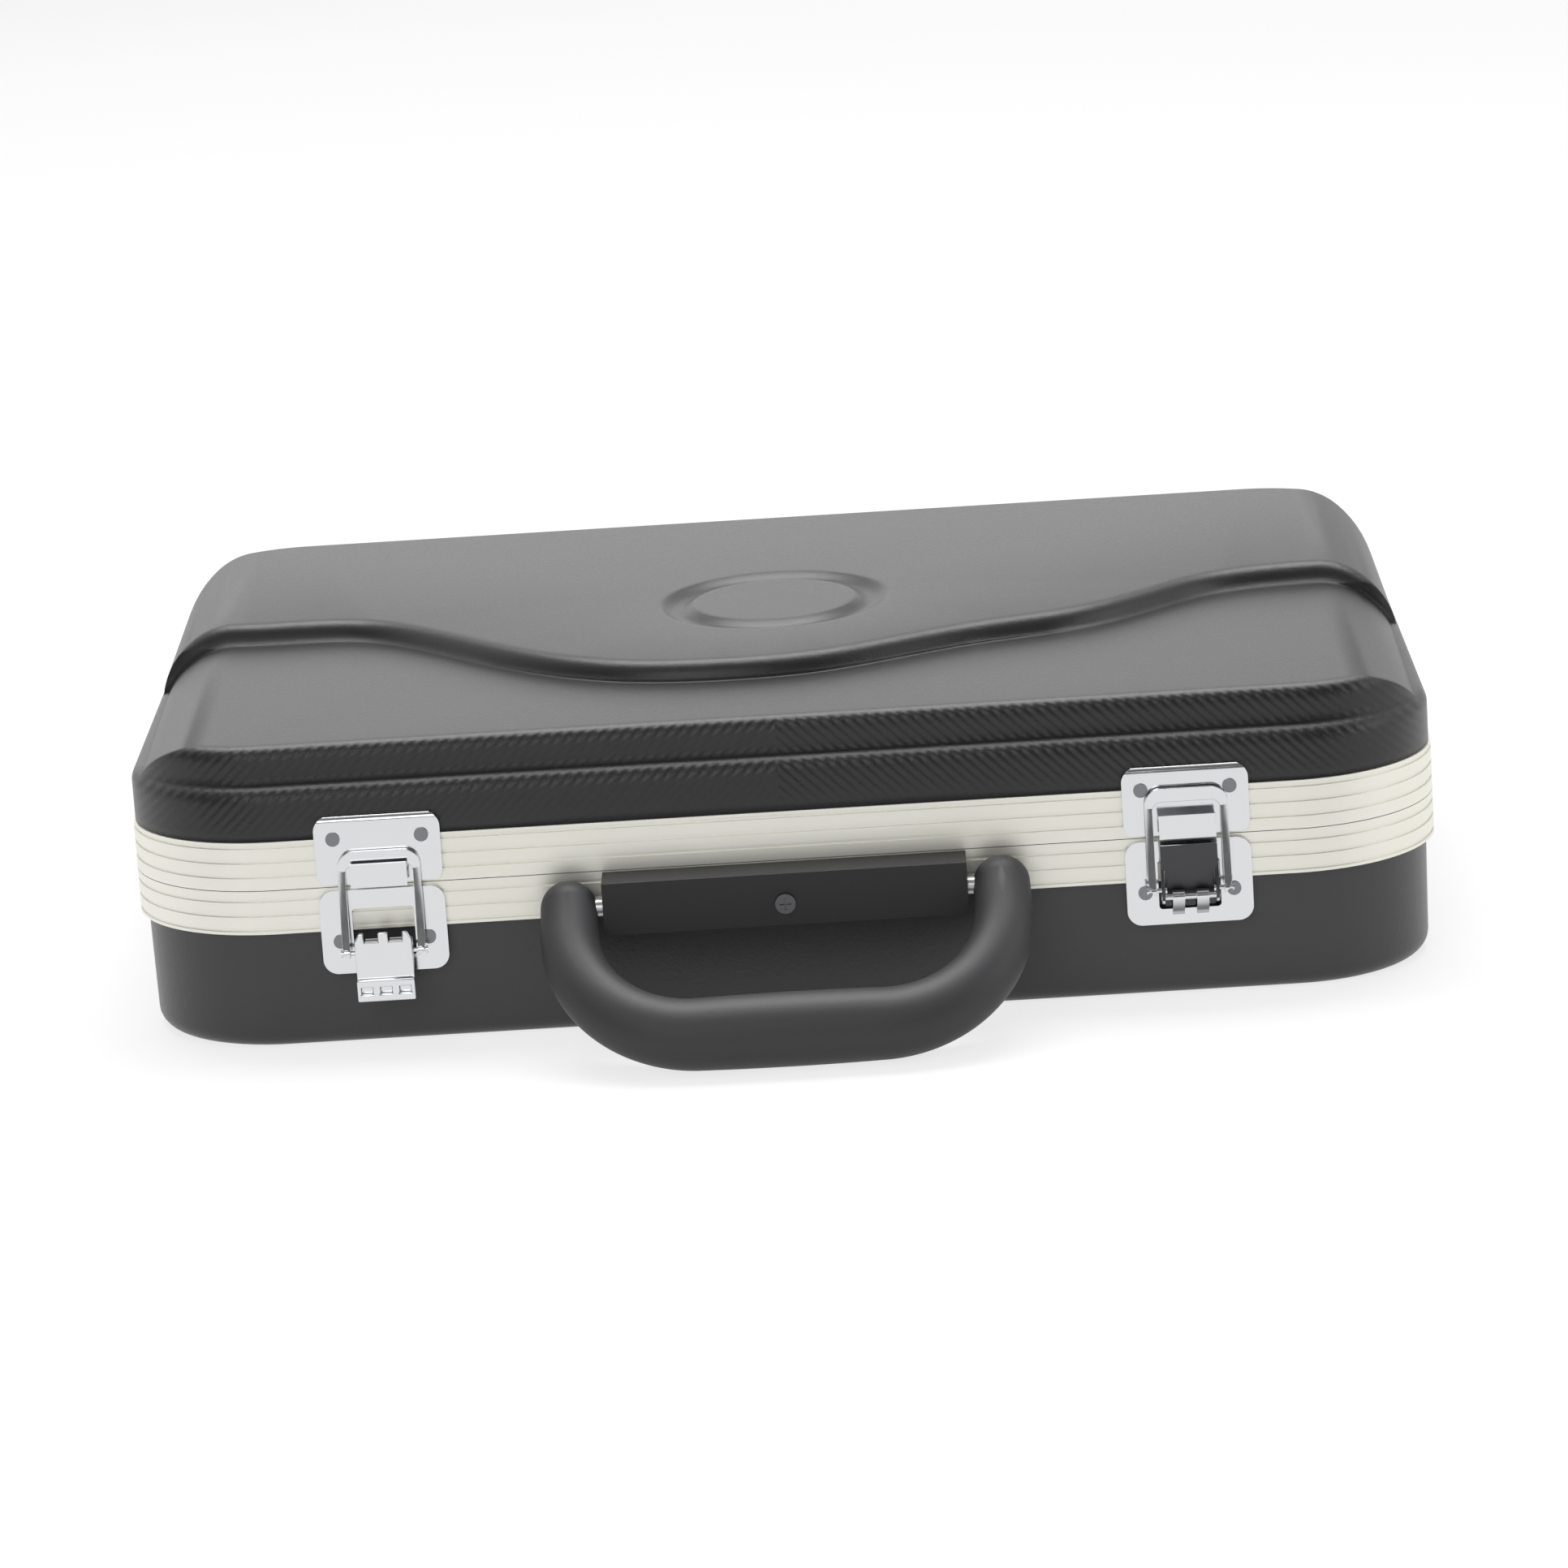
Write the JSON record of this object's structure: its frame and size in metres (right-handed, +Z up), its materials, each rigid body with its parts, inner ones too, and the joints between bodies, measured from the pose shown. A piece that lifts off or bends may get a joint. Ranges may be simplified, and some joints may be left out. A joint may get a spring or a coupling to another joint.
{
  "type": "clarinet case",
  "caption": "Hard clarinet case with moulded shells, ribbed aluminium rim, hinged lid, draw latches with bails and a folding handle.",
  "frame": {"origin": "middle of the flat bottom face that the case rests on", "axes": "+Z up out of the lid, -Y towards the front with latches and handle, +X to the right seen from the front"},
  "size_m": [0.35, 0.2721, 0.0915],
  "materials": {
    "abs_shell": "satin black moulded ABS with fine twill embossing on the ledge",
    "handle_plastic": "satin black moulded plastic",
    "rim_aluminium": "ribbed satin anodised",
    "chrome": "bright chromed steel",
    "hinge_steel": "nickel plated steel",
    "plush": "black short-pile plush"
  },
  "bodies": {
    "case_bottom": {"bottom_shell": "abs_shell", "lower_valance": "rim_aluminium", "bottom_insert": "plush", "left_latch_base": "chrome", "right_latch_base": "chrome", "latch_base_rivets": "chrome", "left_lever_pin": "chrome", "right_lever_pin": "chrome", "left_hinge_lower_leaf": "hinge_steel", "right_hinge_lower_leaf": "hinge_steel", "hinge_lower_rivets": "hinge_steel", "left_hinge_pin": "hinge_steel", "right_hinge_pin": "hinge_steel", "handle_bracket": "handle_plastic", "handle_screw": "hinge_steel", "handle_pins": "hinge_steel"},
    "lid": {"lid_shell": "abs_shell", "upper_valance": "rim_aluminium", "lid_lining": "plush", "left_strike_plate": "chrome", "right_strike_plate": "chrome", "strike_rivets": "chrome", "left_hinge_upper_leaf": "hinge_steel", "right_hinge_upper_leaf": "hinge_steel", "hinge_upper_rivets": "hinge_steel"},
    "left_lever": {"left_lever": "chrome"},
    "left_bail_pins": {"left_bail_pins": "chrome"},
    "left_bail": {"left_bail": "chrome"},
    "right_lever": {"right_lever": "chrome"},
    "right_bail_pins": {"right_bail_pins": "chrome"},
    "right_bail": {"right_bail": "chrome"},
    "handle": {"handle": "handle_plastic"}
  },
  "joints": [
    {"name": "lid_hinge", "type": "hinge", "parent": "case_bottom", "child": "lid", "pos_m": [0, 0.11095, 0.0444], "axis": [-1, 0, 0], "range_deg": [0, 100]},
    {"name": "left_lever_pivot", "type": "hinge", "parent": "case_bottom", "child": "left_lever", "pos_m": [-0.1066, -0.11355, 0.0294], "axis": [-1, 0, 0], "range_deg": [0, 168]},
    {"name": "left_bail_pin_turn", "type": "hinge", "parent": "left_lever", "child": "left_bail_pins", "pos_m": [-0.1066, -0.11355, 0.0274], "axis": [-1, 0, 0], "range_deg": [-168, 0]},
    {"name": "left_bail_swing", "type": "hinge", "parent": "left_bail_pins", "child": "left_bail", "pos_m": [-0.1066, -0.11355, 0.0274], "axis": [1, 0, 0], "range_deg": [0, 110]},
    {"name": "right_lever_pivot", "type": "hinge", "parent": "case_bottom", "child": "right_lever", "pos_m": [0.1066, -0.11355, 0.0294], "axis": [-1, 0, 0], "range_deg": [-168, 0]},
    {"name": "right_bail_pin_turn", "type": "hinge", "parent": "right_lever", "child": "right_bail_pins", "pos_m": [0.1066, -0.11397, 0.03136], "axis": [-1, 0, 0], "range_deg": [0, 168]},
    {"name": "right_bail_swing", "type": "hinge", "parent": "right_bail_pins", "child": "right_bail", "pos_m": [0.1066, -0.11397, 0.03136], "axis": [1, 0, 0], "range_deg": [0, 110]},
    {"name": "handle_pivot", "type": "hinge", "parent": "case_bottom", "child": "handle", "pos_m": [0, -0.11685, 0.0368], "axis": [-1, 0, 0], "range_deg": [-48, 125]}
  ],
  "couplings": [
    {"joint": "left_bail_pin_turn", "follows": "left_lever_pivot", "ratio": -1},
    {"joint": "right_bail_pin_turn", "follows": "right_lever_pivot", "ratio": -1}
  ]
}
